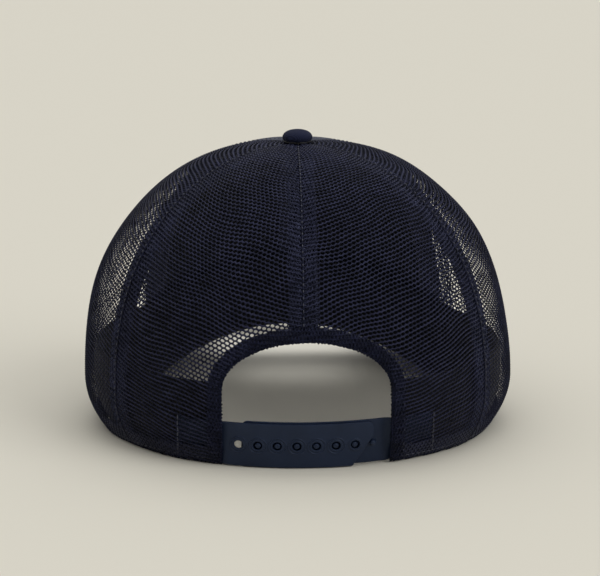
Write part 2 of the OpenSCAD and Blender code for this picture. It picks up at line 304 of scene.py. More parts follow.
def in_box(centres, p0, p1, q0, q1):
    """Which flat points lie inside a rectangle."""
    p, q = centres[:, 0], centres[:, 1]
    return (p > p0) & (p < p1) & (q > q0) & (q < q1)


def hex_lattice(px, py, p0, p1, q0, q1):
    """Staggered cells over a rectangle: their centres, the ids of their six corners (counterclockwise), the
    corners' places and which corners are the heads of loops."""
    rows = np.arange(math.floor(q0 / py), math.ceil(q1 / py) + 1)
    cols = np.arange(math.floor(p0 / px) - 1, math.ceil(p1 / px) + 1)
    i, j = np.meshgrid(cols, rows)
    centres = np.stack([(i + 0.5 * (j % 2)) * px, j * py], -1).reshape(-1, 2)
    corner = np.array([[0.5, 1 / 3], [0, 2 / 3], [-0.5, 1 / 3], [-0.5, -1 / 3], [0, -2 / 3], [0.5, -1 / 3]])
    every = centres[:, None, :] + corner[None] * [px, py]
    keys = np.round(every.reshape(-1, 2) / [px / 2, py / 3]).astype(int)
    _, first, index = np.unique(keys, axis=0, return_index=True, return_inverse=True)
    return centres, index.reshape(-1, 6), every.reshape(-1, 2)[first], keys[first, 1] % 3 == 2


def knit(name, lattice, keep, place, material, hole, thick=KNIT_T):
    """Knitted mesh: each cell is a hole whose yarn swells between its crest and the hole's edge.
    place maps cloth coordinates and a height above the cloth's middle to the cap; hole is the hole's share
    of a cell, or a function that gives it from the cells' centres."""
    centres, cells, corners, heads = lattice
    mask = keep(centres)
    centres, cells = centres[mask], cells[mask]
    used, cells = np.unique(cells, return_inverse=True)
    cells = cells.reshape(-1, 6)
    corners, crest = corners[used], np.where(heads[used], LOOP_RISE, -LOOP_RISE)
    jitter = rng.normal(0, YARN_JITTER, corners.shape)
    share = hole(centres)[:, None, :] if callable(hole) else np.array(hole)
    rim = centres[:, None, :] + (corners[cells] - centres[:, None, :]) * share
    flat = np.concatenate([corners + jitter, corners + jitter, rim.reshape(-1, 2)])
    n, m = len(corners), len(centres)
    height = np.concatenate([thick / 2 + crest, crest - thick / 2, crest[cells].ravel()])
    points = place(flat[:, 0], flat[:, 1], height)
    nxt = np.roll(cells, -1, axis=1)
    hole_id = 2 * n + np.arange(6 * m).reshape(m, 6)
    hole_next = np.roll(hole_id, -1, axis=1)
    top = np.stack([cells, nxt, hole_next, hole_id], -1).reshape(-1, 4)
    bottom = np.stack([nxt + n, cells + n, hole_id, hole_next], -1).reshape(-1, 4)
    edges = [tuple(e) for e in np.stack([cells, nxt], -1).reshape(-1, 2).tolist()]
    seen = set(edges)
    walls = [[b, a, a + n, b + n] for a, b in edges if (b, a) not in seen]
    faces = top.tolist() + bottom.tolist() + walls
    return make_object(name, points, faces, material, np.column_stack([flat, height]))


def grid_quads(rows, cols, base=0, flip=False):
    """Faces of a grid of points."""
    i, j = np.meshgrid(np.arange(rows - 1), np.arange(cols - 1), indexing="ij")
    a = (base + i * cols + j).ravel()
    quads = np.stack([a, a + 1, a + cols + 1, a + cols], -1)
    return (quads[:, ::-1] if flip else quads).tolist()


def shell(name, outer, inner, material, cloth=None):
    """Closed thin solid between two grids of points (rows, cols, 3)."""
    rows, cols = outer.shape[:2]
    n = rows * cols
    faces = grid_quads(rows, cols) + grid_quads(rows, cols, n, True)
    loop = list(range(cols)) + [i * cols + cols - 1 for i in range(1, rows)]
    loop += [n - 1 - j for j in range(1, cols)] + [i * cols for i in range(rows - 2, 0, -1)]
    faces += [[b, a, a + n, b + n] for a, b in zip(loop, loop[1:] + loop[:1])]
    points = np.concatenate([outer.reshape(-1, 3), inner.reshape(-1, 3)])
    flat = None if cloth is None else np.concatenate([cloth.reshape(-1, 3)] * 2)
    return make_object(name, points, faces, material, flat)


def tube_faces(rings, sides, base=0):
    """Side faces and end caps of a tube made of rings of points."""
    faces = []
    for i in range(rings - 1):
        for k in range(sides):
            a, b = base + i * sides + k, base + i * sides + (k + 1) % sides
            faces.append([a, b, b + sides, a + sides])
    last = base + (rings - 1) * sides
    return faces + [[base + k for k in range(sides)][::-1], [last + k for k in range(sides)]]


def stitches(name, runs, radius=0.22, rise=0.16, slot="twill"):
    """Sewn thread: a run is (starts, ends, normals); every stitch is a small bowed capsule."""
    sides, rings = 6, 5
    points, faces = [], []
    t = np.linspace(0, 1, rings)
    swell = np.sqrt(np.clip(1 - (2 * t - 1) ** 2 * 0.94, 0, 1))
    turn = np.arange(sides) * 2 * math.pi / sides
    for starts, ends, normals in runs:
        for p0, p1, n in zip(starts, ends, normals):
            along = p1 - p0
            along = along / np.linalg.norm(along)
            side = np.cross(along, n)
            side /= np.linalg.norm(side)
            up = np.cross(side, along)
            faces += tube_faces(rings, sides, len(points))
            ring = np.outer(np.cos(turn), side) + np.outer(np.sin(turn), up)
            for k in range(rings):
                mid = p0 + (p1 - p0) * t[k] + up * (rise * 4 * t[k] * (1 - t[k]))
                points.extend(mid + radius * swell[k] * ring)
    finish_piece(make_object(name, points, faces, THREAD), slot)


def run_along(path, normal, pitch=2.7, length=2.05):
    """Splits a dense path of points into stitches; normal gives the direction off the cloth at points."""
    at = lengths_along(path)
    count = int(at[-1] / pitch)
    begin = (np.arange(count) + 0.1) * at[-1] / max(count, 1)

    def pick(where):
        return np.stack([np.interp(where, at, path[:, k]) for k in range(3)], -1)

    starts, ends = pick(begin), pick(begin + length)
    return starts, ends, normal((starts + ends) / 2)


def crown_normal(points):
    """Outward direction of the crown, near enough for thread."""
    lengths = np.where(points[:, 1] < 0, CROWN_BACK, CROWN_FRONT)
    z = np.clip((points[:, 2] - WIDEST_Z) / (CROWN_H - WIDEST_Z) ** 2, 0, 1)
    n = np.stack([points[:, 0] / CROWN_HALF_W ** 2, points[:, 1] / lengths ** 2, z], -1)
    return unit(n)


def inward(points):
    """Direction into the crown."""
    return -crown_normal(points)


# ---- materials

class Nodes:
    """Helper to build the nodes of a material, or of the world."""

    def __init__(self, name, owners=bpy.data.materials, shader="Principled BSDF"):
        self.owner = owners.new(name)
        self.owner.use_nodes = True
        self.tree = self.owner.node_tree
        self.shader = self.tree.nodes[shader]

    def add(self, kind, inputs=(), **settings):
        node = self.tree.nodes.new(kind)
        for key, value in settings.items():
            setattr(node, key, value)
        for key, value in dict(inputs).items():
            if isinstance(value, bpy.types.NodeSocket):
                self.tree.links.new(value, node.inputs[key])
            else:
                node.inputs[key].default_value = value
        return node

    def math(self, operation, a, b=0.0):
        return self.add("ShaderNodeMath", {0: a, 1: b}, operation=operation).outputs[0]

    def wave(self, value, k, operation="SINE"):
        return self.math(operation, self.math("MULTIPLY", value, k))

    def remap(self, value, start, end, least, most, **settings):
        inputs = {"Value": value, "From Min": start, "From Max": end, "To Min": least, "To Max": most}
        return self.add("ShaderNodeMapRange", inputs, **settings).outputs["Result"]

    def cloth(self):
        return self.add("ShaderNodeAttribute", attribute_name="cloth").outputs["Vector"]

    def place(self):
        return self.add("ShaderNodeTexCoord").outputs["Object"]

    def noise(self, vector, scale, detail=2.0, rough=0.5):
        inputs = {"Vector": vector, "Scale": scale, "Detail": detail, "Roughness": rough}
        return self.add("ShaderNodeTexNoise", inputs).outputs["Fac"]

    def ramp(self, fac, low_colour, high_colour, low_at, high_at):
        node = self.add("ShaderNodeValToRGB", {"Fac": fac})
        ends = ((low_at, low_colour), (high_at, high_colour))
        for element, (position, colour) in zip(node.color_ramp.elements, ends):
            element.position = position
            element.color = (*colour, 1)
        return node.outputs["Color"]

    def total(self, *terms):
        """Sum of (value, weight) pairs."""
        parts = [self.math("MULTIPLY", value, weight) for value, weight in terms]
        result = parts[0]
        for part in parts[1:]:
            result = self.math("ADD", result, part)
        return result

    def set(self, **values):
        for key, value in values.items():
            socket = self.shader.inputs[key.replace("_", " ")]
            if isinstance(value, bpy.types.NodeSocket):
                self.tree.links.new(value, socket)
            else:
                socket.default_value = value

    def finish(self, tone, colours, places, height, distance, **values):
        """Colour from a ramp between two shades, the shader's other values, and a bump."""
        self.set(Base_Color=self.ramp(tone, *colours, *places), **values)
        node = self.add("ShaderNodeBump", {"Height": height, "Distance": distance, "Strength": 1.0})
        self.tree.links.new(node.outputs["Normal"], self.shader.inputs["Normal"])
        return self.owner


def shades(colour, dark, light):
    """A darker and a lighter shade of a colour."""
    return tuple(c * dark for c in colour), tuple(c * light for c in colour)


def yarn_material(name, colour, shaded_row_pitch=None):
    """Knitted polyester: fine filaments along the yarn, rows of uneven tone and slow fading. Given a row
    pitch, painted shade darkens the links along each row's middle and the zigzag ridges between rows are
    painted lighter.
    """
    n = Nodes(name)
    cloth = n.cloth()
    filament = n.noise(cloth, 7.0, 3.0, 0.6)
    patch = n.noise(n.place(), 60.0, 2.0)
    along_rows = n.add("ShaderNodeMapping", {"Vector": cloth, "Scale": (0.22, 1.0, 1.0)}).outputs["Vector"]
    terms = [(filament, 0.3), (patch, 0.2), (n.noise(along_rows, 0.75, 2.0, 0.6), 0.5)]
    if shaded_row_pitch:
        # Painted shade: darker along each row's middle where the links sit low, lighter along the zigzag
        # ridges between rows.
        q = n.add("ShaderNodeSeparateXYZ", {0: cloth}).outputs[1]
        terms.append((n.wave(q, 2 * math.pi / shaded_row_pitch, "COSINE"), -0.11))
    # Tone varies at random between a dark and a much lighter shade; the lighter end is painted highlight on
    # glossy yarn filaments.
    return n.finish(
        n.total(*terms), shades(colour, 0.35, 3.8), (0.41, 0.70), filament, 0.00006,
        Roughness=0.42, Specular_IOR_Level=0.13, Specular_Tint=(0.62, 0.70, 1.0, 1.0),
    )


def twill_material(name, colour, pitch=0.62, sheen=0.16, gloss=0.3):
    """Cotton twill: diagonal ribs crossed by single yarns, with lint and slight fading."""
    n = Nodes(name)
    cloth = n.cloth()
    x, y = n.add("ShaderNodeSeparateXYZ", {0: cloth}).outputs[:2]
    k = 2 * math.pi / pitch
    rib = n.wave(n.total((x, 1.0), (y, 1.7)), k / 1.97)
    yarn = n.wave(n.total((x, 1.0), (y, -0.25)), k * 1.3)
    weave = n.math("ADD", n.total((rib, 0.36), (yarn, 0.14)), 0.5)
    fade = n.noise(n.place(), 35.0, 4.0, 0.6)
    lint = n.noise(cloth, 3.5, 5.0, 0.7)
    tone = n.total((weave, 0.45), (fade, 0.275), (lint, 0.275))
    return n.finish(
        tone, shades(colour, 0.55, 1.45), (0.25, 0.8), n.total((weave, 1.0), (lint, 0.3)), 0.00012,
        Roughness=0.86, Specular_IOR_Level=gloss, Sheen_Weight=sheen, Sheen_Roughness=0.4,
    )


def plain_weave_material(name, colour, pitch=0.9, rough=0.8, depth=0.00012):
    """Tape and backing cloth: over-and-under weave."""
    n = Nodes(name)
    cloth = n.cloth()
    axes = n.add("ShaderNodeSeparateXYZ", {0: cloth}).outputs[:2]
    warp, weft = [n.wave(axis, 2 * math.pi / pitch) for axis in axes]
    weave = n.math("ADD", n.math("MULTIPLY", n.math("MULTIPLY", warp, weft), 0.5), 0.5)
    tone = n.total((weave, 0.5), (n.noise(cloth, 2.5, 4.0, 0.6), 0.5))
    return n.finish(
        tone, shades(colour, 0.6, 1.4), (0.2, 0.8), weave, depth,
        Roughness=rough, Specular_IOR_Level=0.3, Sheen_Weight=0.2,
    )


def thread_material(name, colour):
    """Sewing thread: fine twist across each stitch."""
    n = Nodes(name)
    place = n.place()
    twist = n.noise(place, 2600.0, 2.0, 0.6)
    tone = n.total((twist, 0.6), (n.noise(place, 150.0, 2.0), 0.4))
    return n.finish(
        tone, shades(colour, 0.7, 1.3), (0.3, 0.7), twist, 0.00005, Roughness=0.5, Sheen_Weight=0.2,
    )


def moulded_material(name, colour, rough=0.42):
    """Moulded strap plastic: satin grain, faint flow marks and scuffs."""
    n = Nodes(name)
    place = n.place()
    grain = n.noise(place, 1500.0, 2.0, 0.5)
    flow = n.noise(place, 55.0, 3.0, 0.6)
    scuff = n.noise(place, 240.0, 6.0, 0.75)
    return n.finish(
        flow, shades(colour, 0.85, 1.18), (0.3, 0.7), n.total((grain, 0.6), (scuff, 0.4)), 0.00004,
        Roughness=n.remap(scuff, 0.35, 0.7, rough - 0.06, rough + 0.14),
        Specular_IOR_Level=0.3, Specular_Tint=(0.7, 0.8, 1.0, 1.0),
    )


def metal_material(name, tone):
    """Pressed metal with fine drawing marks."""
    n = Nodes(name)
    marks = n.noise(n.place(), 900.0, 3.0, 0.6)
    return n.finish(marks, shades(tone, 0.8, 1.2), (0.3, 0.7), marks, 0.00003, Metallic=1.0, Roughness=0.38)


def board_material(name):
    """Moulded board inside the visor: pale, with a coarse pressed grain."""
    n = Nodes(name)
    grain = n.noise(n.place(), 420.0, 4.0, 0.6)
    pale = ((0.44, 0.44, 0.42), (0.58, 0.58, 0.55))
    return n.finish(grain, pale, (0.3, 0.7), grain, 0.00008, Roughness=0.6)


def floor_material(name, colour):
    n = Nodes(name)
    n.set(Base_Color=(*colour, 1), Roughness=0.95, Specular_IOR_Level=0.1)
    return n.owner


YARN = yarn_material("knitted_yarn", (0.0062, 0.0070, 0.0165))
# Panel yarn carries painted shade between its rows of loops.
PANEL_YARN = yarn_material("panel_yarn", (0.0085, 0.0092, 0.0195), KNIT_Y)
SEAM_YARN = yarn_material("seam_yarn", (0.0420, 0.0470, 0.0860))
TWILL = twill_material("cotton_twill", (0.040, 0.047, 0.077))
BUTTON_TWILL = twill_material("button_twill", (0.013, 0.0165, 0.042), 0.5, 0.03, 0.12)
TAPE = plain_weave_material("seam_tape_weave", (0.034, 0.038, 0.072), 0.8)
BUCKRAM = plain_weave_material("buckram_weave", (0.008, 0.009, 0.013), 1.6, 0.9, 0.0003)
BAND = twill_material("sweatband_twill", (0.006, 0.006, 0.008), 0.9)
THREAD = thread_material("sewing_thread", (0.026, 0.029, 0.054))
PLASTIC = moulded_material("strap_plastic", (0.0105, 0.0175, 0.041))
METAL = metal_material("pressed_metal", (0.50, 0.50, 0.51))
DARK_METAL = metal_material("blackened_metal", (0.05, 0.05, 0.055))
BOARD = board_material("visor_board")


# ---- mesh panels

def panel_depth(across, half_width, s):
    """Cloth's own relief: a soft pillow between the seams and a dip towards them."""
    edge = np.clip(half_width - np.abs(across), 0, None)
    pillow = 0.55 * np.cos(np.clip(across / np.maximum(half_width, 1), -1, 1) * math.pi / 2)
    fade = np.clip((1 - s) * 6, 0, 1)
    return 0.45 * np.exp(-(edge / 1.5) ** 2) - pillow * fade


def push_out_of_opening(points, grow):
    """Moves points that lie in the rear opening out to its edge, grown by that much."""
    x, z = points[:, 0] - OPENING_SHIFT, points[:, 2]
    rx, rz = OPENING_RX + grow, OPENING_TOP - OPENING_SPRING + grow
    above = np.clip(z - OPENING_SPRING, 0, None)
    reach = np.sqrt((x / rx) ** 2 + (above / rz) ** 2)
    inside = (reach < 1) & (points[:, 1] < 0)
    k = 1 / np.maximum(reach, 1e-3)
    new_x = np.where(inside, x * k, x) + OPENING_SHIFT
    new_z = np.where(inside, OPENING_SPRING + above * k, z)
    new_z = np.where(inside & (z < OPENING_SPRING), z, new_z)
    return inside, new_x, new_z


def mesh_panel(node, a0, a1, tilt, has_opening):
    """Open knit between two seams, laid flat along the panel's middle line."""
    centre, half_angle = (a0 + a1) / 2, (a1 - a0) / 2
    line = Meridian(centre)
    cos_tilt, sin_tilt = math.cos(tilt * DEG), math.sin(tilt * DEG)
    side = 1 if math.sin(centre * DEG) > 0 else -1

    def to_cloth(p, q):
        """Turned by the grain, with a slow waver."""
        across = p * cos_tilt - q * sin_tilt
        up = p * sin_tilt + q * cos_tilt
        ripple = 0.3 * np.sin(up / 3.4 - across / 11.0)
        across = across + 0.9 * np.sin(up / 7.5 + side + across / 31.0) + ripple
        ripple = 0.35 * np.sin(across / 3.9 + up / 9.0)
        return across, up + 1.1 * np.sin(across / 8.0 + side) * np.cos(up / 17.0) + ripple

    def place(p, q, h):
        across, up = to_cloth(p, q)
        s = line.step(np.clip(up, 0.35, line.total - 2.2))
        r = line.radius(s)
        half = r * half_angle * DEG
        across = np.clip(across, -half + 0.12, half - 0.12)
        sway = 0.35 * np.sin(across / 9.0 + up / 14.0) + 0.25 * np.sin(up / 11.0 - across / 17.0 + side)
        sway = sway * np.clip((half - np.abs(across)) / 8, 0, 1)
        depth = KNIT_T / 2 - h + panel_depth(across, half, s) + sway
        a = centre + across / r / DEG
        points = crown_point(a, s, depth)
        if has_opening:
            inside, x, z = push_out_of_opening(points, 1.1)
            points = np.where(inside[:, None], back_point(x, z, depth), points)
        return points

    def keep(centres):
        across, up = to_cloth(centres[:, 0], centres[:, 1])
        s = line.step(up)
        half = line.radius(s) * half_angle * DEG
        ok = (up > 0.2) & (up < line.total - 2.0) & (np.abs(across) < half + 0.3)
        if has_opening:
            a = centre + across / line.radius(s) / DEG
            inside, _, _ = push_out_of_opening(crown_point(a, s, np.zeros(len(s))), 0.6)
            ok &= ~inside
        return ok

    def side_hole(centres):
        """Hole shares that get smaller from the low part of a side panel to its top."""
        z = step_height(line.step(to_cloth(centres[:, 0], centres[:, 1])[1]))
        k = smooth((z - TOP_HOLE_Z[0]) / (TOP_HOLE_Z[1] - TOP_HOLE_Z[0]))[:, None]
        return np.array(SIDE_HOLE) * (1 - k) + np.array(TOP_HOLE) * k

    reach = line.total + 40
    lattice = hex_lattice(KNIT_X, KNIT_Y, -reach, reach, -reach, reach)
    hole, thick = (BACK_HOLE, KNIT_T) if has_opening else (side_hole, SIDE_KNIT_T)
    finish_piece(knit(node + "_knit", lattice, keep, place, PANEL_YARN, hole, thick), "mesh", node)


mesh_panel("back_mesh_right", 0, SIDE_SEAM, GRAIN_TILT, True)
mesh_panel("back_mesh_left", 360 - SIDE_SEAM, 360, -GRAIN_TILT, True)
mesh_panel("side_mesh_right", SIDE_SEAM, 180 - FRONT_SEAM, GRAIN_TILT, False)
mesh_panel("side_mesh_left", 180 + FRONT_SEAM, 360 - SIDE_SEAM, -GRAIN_TILT, False)


# ---- seam allowances, tapes and their thread

def seam_path(a0, offset, s0, s1, depth, count=400):
    """Dense line beside the seam at azimuth a0."""
    s = np.linspace(s0, s1, count)
    r = plan_radius(a0) * step_scale(s)
    return crown_point(a0 + offset / r / DEG, s, depth)


def allowance(name, a0, sides, z0, width):
    """Folded edge of the knit behind a seam: a second, upright layer that closes the holes."""
    line = Meridian(a0)
    q0, q1 = float(line.length(height_step(z0))), line.total - ALLOWANCE_STOP

    def place(p, q, h):
        s = line.step(np.clip(q, q0, q1))
        across = np.clip(p, -width, width)
        return crown_point(a0 + across / line.radius(s) / DEG, s, ALLOWANCE_D - h)

    def keep(centres):
        on_side = np.any([centres[:, 0] * side > 0.2 for side in sides], axis=0)
        return in_box(centres, -width, width, q0, q1) & on_side

    lattice = hex_lattice(1.25, 2.0, -width - 2, width + 2, q0 - 4, q1 + 4)
    finish_piece(knit(name, lattice, keep, place, SEAM_YARN, (0.5, 0.62), 0.5), "mesh")


def tape(node, a0, z0, depth):
    """Woven tape over the seam on the inside, with rounded edges."""
    rows, cols = 90, 9
    last = top_step(TAPE_TOP_R)
    s = np.linspace(float(height_step(z0, depth)), last, rows)[:, None]
    e = np.linspace(-1, 1, cols)[None, :]
    r = plan_radius(a0, depth) * step_scale(s)
    half = np.minimum(TAPE_HALF_W, 0.36 * r)
    a = a0 + np.arcsin(half / r) * e / DEG
    lift = 0.18 * np.sqrt(np.clip(1 - e ** 2, 0, 1)) + 0.04 * np.sin(s * 160) * e
    outer = crown_point(a, s, depth)
    inner = crown_point(a, s, depth + TAPE_T - 0.15 + lift)
    cloth = flat_cloth(half * e, Meridian(a0).length(s))
    finish_piece(shell(node + "_cloth", outer, inner, TAPE, cloth), "seam_tape", node)
    paths = [seam_path(a0, o, float(s[0, 0]) + 0.01, last - 0.06, depth + TAPE_T + 0.08) for o in (-3.4, 3.4)]
    stitches(node + "_thread", [run_along(path, inward) for path in paths], slot="seam_tape")


BOTH = (-1, 1)
# Name, azimuth, lowest height, depth of the tape, sides with a knit allowance, its width
SEAMS = (
    ("back_centre", 0, OPENING_TOP + BINDING_W - 1.0, TAPE_D, BOTH, ALLOWANCE),
    ("side_right", SIDE_SEAM, 1.2, TAPE_D, BOTH, ALLOWANCE),
    ("side_left", 360 - SIDE_SEAM, 1.2, TAPE_D, BOTH, ALLOWANCE),
    ("front_right", 180 - FRONT_SEAM, 5.5, FRONT_TAPE_D, (-1,), RIGHT_FRONT_ALLOWANCE),
    ("front_left", 180 + FRONT_SEAM, 5.5, FRONT_TAPE_D, (1,), ALLOWANCE),
    ("front_centre", 180, RIM_ARCH + 1.2, FRONT_TAPE_D, (), 0),
)
for name, a0, z0, depth, knit_sides, width in SEAMS:
    tape("seam_tape_" + name, a0, z0, depth)
    if knit_sides:
        allowance("allowance_" + name + "_knit", a0, knit_sides, z0, width)
    first = float(height_step(max(z0, 3.0) + 1))
    offsets, length = ((0.0,), 1.2) if knit_sides == BOTH else ((-2.7, 2.7), 2.05)
    paths = [seam_path(a0, offset, first, 0.955, -0.02) for offset in offsets]
    stitches("topstitch_" + name + "_thread", [run_along(path, crown_normal, 2.7, length) for path in paths])


def seam_roll(name, a0, z0, material, slot):
    """Thin roll where two panels turn in at a seam."""
    sides, rings = 8, 260
    s = np.linspace(float(height_step(z0)), 0.965, rings)
    mid = crown_point(a0, s, 0.5 + 0.06 * np.sin(np.arange(rings) * 1.7))
    n = crown_normal(mid)
    side = np.cross(unit(np.gradient(mid, axis=0)), n)
    points = []
    for k in range(rings):
        swell = 1 + 0.2 * math.sin(k * 2.1) + 0.1 * rng.normal()
        for t in np.arange(sides) * 2 * math.pi / sides:
            points.append(mid[k] + 0.42 * swell * math.cos(t) * side[k] + 0.3 * swell * math.sin(t) * n[k])
    finish_piece(make_object(name, points, tube_faces(rings, sides), material), slot)


for name, a0, z0, _, knit_sides, _ in SEAMS:
    seam_roll("seam_roll_" + name, a0, z0, *((YARN, "mesh") if knit_sides else (TWILL, "twill")))


# ---- folded edges: rear opening and rim

LOWEST_Z = 0.15


class OpeningEdge:
    """The rear opening's edge as a path of x and z with its outward direction, by length."""

    def __init__(self):
        rx, rz = OPENING_RX, OPENING_TOP - OPENING_SPRING
        sides = np.linspace(0.25, OPENING_SPRING, 60)[:-1]
        count = len(sides)
        f = np.linspace(180, 0, 240) * DEG
        arch = np.stack([rx * np.cos(f), OPENING_SPRING + rz * np.sin(f)], -1)
        normal = unit(np.stack([np.cos(f) / rx, np.sin(f) / rz], -1))
        left = np.stack([np.full(count, -rx), sides], -1)
        right = np.stack([np.full(count, rx), sides[::-1]], -1)
        self.path = np.concatenate([left, arch, right]) + [OPENING_SHIFT, 0]
        self.normal = np.concatenate([np.tile([-1.0, 0], (count, 1)), normal, np.tile([1.0, 0], (count, 1))])
        self.at = lengths_along(self.path)
        self.total = self.at[-1]

    def pick(self, values, t):
        return np.stack([np.interp(t, self.at, values[:, k]) for k in range(2)], -1)

    def point(self, t, out, d):
        flat = self.pick(self.path, t) + self.pick(self.normal, t) * np.asarray(out)[:, None]
        return back_point(flat[:, 0], np.clip(flat[:, 1], LOWEST_Z, None), d)


def fold_profile(c, radius, middle, h):
    """Cross-section of a cloth folded over an edge: c runs along the cloth, 0 at the fold.
    Gives the distance from the edge and the depth; h is the height above the cloth's middle."""
    quarter = radius * math.pi / 2
    angle = np.clip(c / radius, -math.pi / 2, math.pi / 2)
    straight = np.clip(np.abs(c) - quarter, 0, None)
    out = (radius - (radius + h) * np.cos(angle)) + straight
    return out, middle - (radius + h) * np.sin(angle)


edge = OpeningEdge()


def nearest_on_edge(x, z):
    """Where places on the back lie by the opening's edge: length along it and distance outwards."""
    dx = x[:, None] - edge.path[None, :, 0]
    dz = z[:, None] - edge.path[None, :, 1]
    k = np.argmin(dx ** 2 + dz ** 2, axis=1)
    rows = np.arange(len(x))
    return edge.at[k], dx[rows, k] * edge.normal[k, 0] + dz[rows, k] * edge.normal[k, 1]


def binding_fold():
    """Knit turned round the edge of the rear opening and lying flat inside it."""
    reach = BINDING_W + 0.3

    def place(p, q, h):
        q = q + 0.25 * np.sin(p / 3.1)
        out, depth = fold_profile(np.clip(q, -reach, 1.6), 0.75, 0.45, h)
        scallop = 0.3 * (0.5 + 0.5 * np.cos(2 * math.pi * p / 2.1)) * np.exp(-(q / 1.3) ** 2)
        return edge.point(np.clip(p, 0, edge.total), out - scallop, depth)

    def keep(centres):
        return in_box(centres, 0, edge.total, -reach, 1.6)

    lattice = hex_lattice(1.4, 1.12, -4, edge.total + 4, -reach - 2, 4)
    obj = knit("opening_binding_knit", lattice, keep, place, YARN, (0.5, 0.5), 0.6)
    finish_piece(obj, "mesh", "opening_binding")


def binding_face():
    """Outer layer of the binding: upright rows of yarn, packed too close to see through."""

    def place(p, q, h):
        t, out = nearest_on_edge(p, q)
        near = np.clip(out, 0.05, BINDING_W)
        rounded = 0.55 * np.clip(1 - near / 1.1, 0, 1) ** 2
        drop = rounded + 0.45 * np.clip((near - BINDING_W) / 0.9 + 1, 0, 1) ** 2
        depth = -0.30 + drop - h
        snapped = edge.point(t, near, depth)
        free = back_point(p, np.clip(q, LOWEST_Z, None), depth)
        return np.where((near == out)[:, None], free, snapped)

    def keep(centres):
        _, out = nearest_on_edge(centres[:, 0], centres[:, 1])
        return (out > 0.25) & (out < BINDING_W - 0.15) & (centres[:, 1] > 0.5)

    side = OPENING_RX + BINDING_W + 4
    lattice = hex_lattice(1.42, 1.75, -side, side + 2, -2, OPENING_TOP + BINDING_W + 4)
    finish_piece(knit("opening_face_knit", lattice, keep, place, YARN, (0.52, 0.66), 0.62), "mesh")


def binding_hem():
    """Hem inside the binding and the thread that holds it."""
    rows, cols, dense = 12, 300, 500
    out = np.linspace(0.3, BINDING_W - 0.3, rows)
    t = np.linspace(0.3, edge.total - 0.3, cols)
    outer, inner = [np.stack([edge.point(t, np.full(cols, o), d) for o in out[::-1]]) for d in (0.4, 0.85)]
    finish_piece(shell("opening_hem", outer, inner, TAPE, flat_cloth(t[None, :], out[::-1, None])), "mesh")
    path = edge.point(np.linspace(1.5, edge.total - 1.5, dense), np.full(dense, BINDING_W - 1.3), 1.62)
    stitches("opening_thread", [run_along(path, inward)], 0.2)


binding_fold()
binding_face()
binding_hem()


def azimuth_of_side(x, z=6.0):
    """Azimuth of a place on the back of the crown, near the rim."""
    point = back_point(x, z, 0.0)
    return math.atan2(point[0], -point[1]) / DEG


SIDE_RIGHT = azimuth_of_side(OPENING_SHIFT + OPENING_RX + 3.0)
SIDE_LEFT = 360 + azimuth_of_side(OPENING_SHIFT - OPENING_RX - 3.0)


def rim_hem(name, a0, a1):
    """Knit turned up inside along the rim."""
    length, reach = math.radians(a1 - a0) * RIM_R, 8.0

    def place(p, q, h):
        a = a0 + (a1 - a0) * np.clip(p / length, 0, 1)
        out, depth = fold_profile(np.clip(q, -reach, 1.0), 0.6, 0.75, h)
        return crown_point(a, height_step(np.clip(rim_z(a) + 0.3 + out, 0.05, None)), depth)

    def keep(centres):
        return in_box(centres, 0, length, -reach, 1.0)

    lattice = hex_lattice(KNIT_X, 1.3, -4, length + 4, -reach - 2, 3)
    finish_piece(knit(name, lattice, keep, place, YARN, (0.55, 0.55), 0.5), "mesh")


def rim_tape(name, a0, a1):
    """Woven tape inside the turned-up knit, which closes the rim."""
    a = np.linspace(a0, a1, 200)[None, :]
    up = RIM_TAPE_W * np.linspace(0, 1, 6)[:, None]
    s = height_step(rim_z(a) + 0.5 + up)
    cloth = flat_cloth(a * BAND_PER_DEG, up)
    finish_piece(shell(name, crown_point(a, s, 0.62), crown_point(a, s, 0.92), TAPE, cloth), "mesh")


def rim_run(a0, a1):
    """Stitches along the rim on the outside."""
    a = np.linspace(a0, a1, 500)
    return run_along(crown_point(a, height_step(rim_z(a) + 2.6), -0.15), crown_normal)


RIM_PARTS = (("right", SIDE_RIGHT, 180 - FRONT_SEAM), ("left", 180 + FRONT_SEAM, SIDE_LEFT))
for side, a0, a1 in RIM_PARTS:
    rim_hem("rim_hem_" + side + "_knit", a0, a1)
for side, a0, a1 in RIM_PARTS:
    rim_tape("rim_tape_" + side, a0, a1)
stitches("rim_thread", [rim_run(a0 + 1, a1 - 1) for _, a0, a1 in RIM_PARTS], 0.2)


# ---- front panels

def front_panel(name, node, centre, material, slot, d0, d1):
    """Twill panel or its backing as a fine closed shell that turns in at its seams."""
    rows, cols = 110, 64
    line = Meridian(centre)
    v = np.linspace(0, 1, rows)[:, None]
    e = np.linspace(-1, 1, cols)[None, :]
    e = np.sign(e) * (1 - (1 - np.abs(e)) ** 1.35)
    a = centre + FRONT_SEAM / 2 * 0.998 * e
    first = height_step(rim_z(a) + 0.2)
    s = first + (top_step(2.4) - first) * v
    half = line.radius(s) * FRONT_SEAM / 2 * DEG
    relief = panel_depth(half * e, half, s)
    outer, inner = crown_point(a, s, d0 + relief), crown_point(a, s, d1 + relief)
    finish_piece(shell(name, outer, inner, material, flat_cloth(half * e, line.length(s))), slot, node)


for side, centre in (("right", 180 - FRONT_SEAM / 2), ("left", 180 + FRONT_SEAM / 2)):
    for part, ending, material, slot, d0, d1 in (
        ("front_panel_", "_twill", TWILL, "twill", 0.0, 0.95),
        ("front_buckram_", "_cloth", BUCKRAM, "buckram", 1.25, 1.95),
    ):
        front_panel(part + side + ending, part + side, centre, material, slot, d0, d1)


# ---- sweatband

